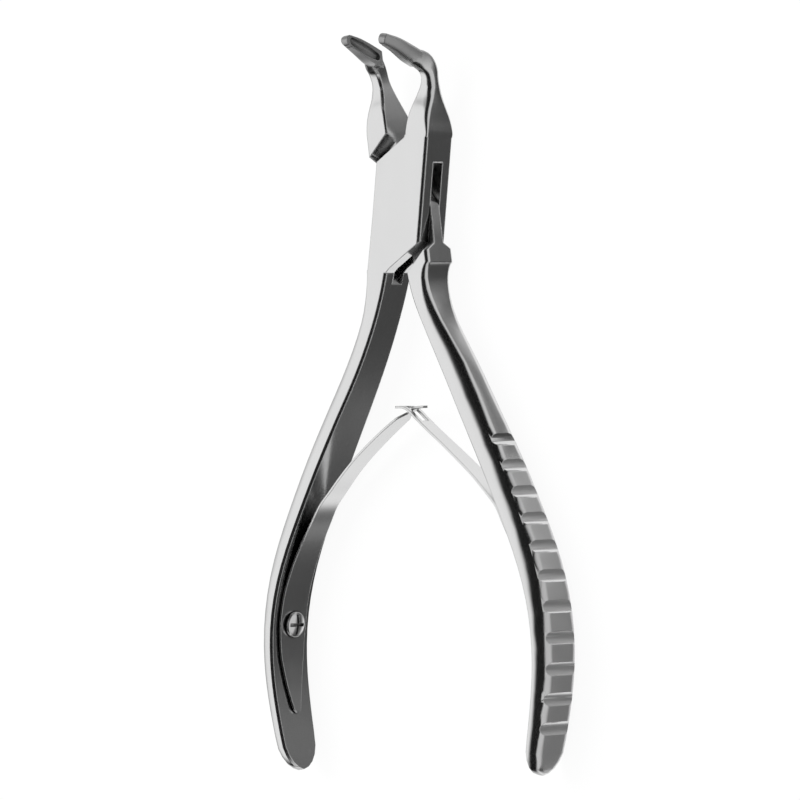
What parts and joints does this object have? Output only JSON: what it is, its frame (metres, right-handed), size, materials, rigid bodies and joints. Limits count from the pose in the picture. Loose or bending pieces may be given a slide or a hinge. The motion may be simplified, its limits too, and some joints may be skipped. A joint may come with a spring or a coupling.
{
  "type": "bone rongeur",
  "caption": "Surgical bone rongeur with a box-lock pivot, forward-bent cupped jaws, finger-grooved handles and crossed leaf springs.",
  "frame": {"origin": "pivot axis on the back face of the box lock", "axes": "+Z along the pivot axis, from the back face to the front face; +Y along the tool towards the jaws; +X across the two limbs, to the right as seen from the front"},
  "size_m": [0.0706, 0.1399, 0.0186],
  "materials": {
    "limb_steel": "satin, polished at the edges",
    "pin_steel": "ground flush with the box",
    "spring_steel": "fine satin",
    "screw_steel": "polished"
  },
  "bodies": {
    "box_body": {"box_limb": "limb_steel", "pivot_pin": "pin_steel", "spring_screw_left": "screw_steel"},
    "tongue_body": {"tongue_limb": "limb_steel", "spring_screw_right": "screw_steel"},
    "leaf_left_body": {"spring_left": "spring_steel"},
    "leaf_right_body": {"spring_right": "spring_steel"}
  },
  "joints": [
    {"name": "pivot", "type": "hinge", "parent": "box_body", "child": "tongue_body", "pos_m": [0, 0, 0], "axis": [0, 0, 1], "range_deg": [-14, 3], "stiffness_Nm_per_rad": 4, "deforming": ["spring_left", "spring_right"]},
    {"name": "leaf_left_bend", "type": "hinge", "parent": "box_body", "child": "leaf_left_body", "pos_m": [-0.0285, -0.0697, 0], "axis": [0, 0, 1], "range_deg": [-1.66, 7.77]},
    {"name": "leaf_right_bend", "type": "hinge", "parent": "tongue_body", "child": "leaf_right_body", "pos_m": [0.0285, -0.0697, 0], "axis": [0, 0, 1], "range_deg": [-7.77, 1.66]}
  ],
  "couplings": [
    {"joint": "leaf_left_bend", "follows": "pivot", "ratio": -0.55469},
    {"joint": "leaf_right_bend", "follows": "pivot", "ratio": 0.55469}
  ]
}
